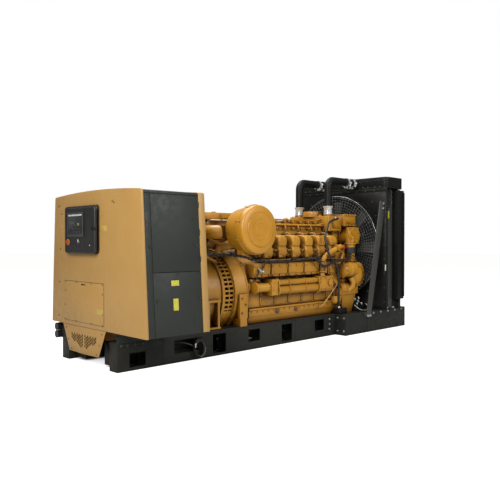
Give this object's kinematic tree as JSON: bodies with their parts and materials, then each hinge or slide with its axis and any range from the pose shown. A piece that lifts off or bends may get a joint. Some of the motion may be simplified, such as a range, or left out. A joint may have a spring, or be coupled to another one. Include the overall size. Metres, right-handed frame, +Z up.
{
  "type": "diesel generator set",
  "caption": "Open diesel generator set: vee engine and generator on a welded skid, with a guarded fan and radiator at one end and a terminal hood with control panel at the other.",
  "frame": {"origin": "on the floor, below the crankshaft, at the face where the generator meets the flywheel housing", "axes": "+X from the generator end to the radiator end, +Y to the left side, +Z up"},
  "size_m": [5.228, 2.173, 2.3],
  "materials": {
    "engine_paint": "semi-gloss enamel",
    "hood_paint": "satin powder coat",
    "panel_paint": "satin powder coat",
    "black_paint": "semi-gloss enamel",
    "grey_paint": "satin enamel",
    "bare_steel": "dull",
    "zinc_steel": "bright zinc plate",
    "core_fins": "matt",
    "panel_plastic": "fine-grained moulding",
    "display_glass": "gloss",
    "switch_plastic": "gloss",
    "black_rubber": "matt",
    "gland_plastic": "matt"
  },
  "bodies": {
    "root": {"skid_rail_right": "black_paint", "skid_rail_left": "black_paint", "skid_cross_members": "black_paint", "outriggers": "black_paint", "generator_frame": "engine_paint", "generator_vent_ring": "engine_paint", "generator_feet": "engine_paint", "flywheel_housing": "engine_paint", "hood_supports": "panel_paint", "hood_front_panel": "hood_paint", "hood_roof": "panel_paint", "hood_side_panel_right": "panel_paint", "hood_side_panel_left": "panel_paint", "hood_rear_trim": "hood_paint", "terminal_box_top": "panel_paint", "terminal_box_sides": "panel_paint", "hood_vent_apron": "hood_paint", "access_cover": "hood_paint", "control_case": "panel_plastic", "engine_block": "engine_paint", "oil_pan": "engine_paint", "engine_supports": "engine_paint", "cylinder_heads_right": "engine_paint", "cylinder_heads_left": "engine_paint", "valve_covers_right": "engine_paint", "valve_covers_left": "engine_paint", "camshaft_covers": "engine_paint", "oil_cooler_tubes": "engine_paint", "oil_cooler_pipes": "engine_paint", "aftercooler": "engine_paint", "turbochargers": "engine_paint", "exhaust_outlet": "bare_steel", "air_cleaner_frame": "engine_paint", "air_cleaner_right": "engine_paint", "air_cleaner_left": "engine_paint", "intake_elbows": "engine_paint", "front_gear_case": "engine_paint", "regulator_housing": "engine_paint", "water_crossover": "engine_paint", "water_pumps": "engine_paint", "crank_pulley": "black_paint", "fan_belt": "black_rubber", "fan_drive": "black_paint", "fan_guard": "grey_paint", "fan_shroud": "black_paint", "radiator_core": "core_fins", "radiator_frame": "black_paint", "top_tank": "black_paint", "radiator_columns": "grey_paint", "radiator_braces": "grey_paint", "coolant_pipes": "black_paint", "pipe_clamps": "zinc_steel", "wiring_harness": "black_rubber", "breather_hose": "black_rubber", "battery_leads": "black_rubber", "cable_glands": "gland_plastic"},
    "fan": {"fan": "grey_paint"},
    "control_door": {"control_door": "panel_plastic", "display_module": "display_glass", "panel_switches": "switch_plastic"}
  },
  "joints": [
    {"name": "fan_spin", "type": "hinge", "parent": "root", "child": "fan", "pos_m": [2.725, 0, 1.24], "axis": [1, 0, 0], "continuous": true},
    {"name": "control_door_hinge", "type": "hinge", "parent": "root", "child": "control_door", "pos_m": [-1.7315, 0.314, 1.445], "axis": [0, 0, -1], "range_deg": [0, 110]}
  ]
}
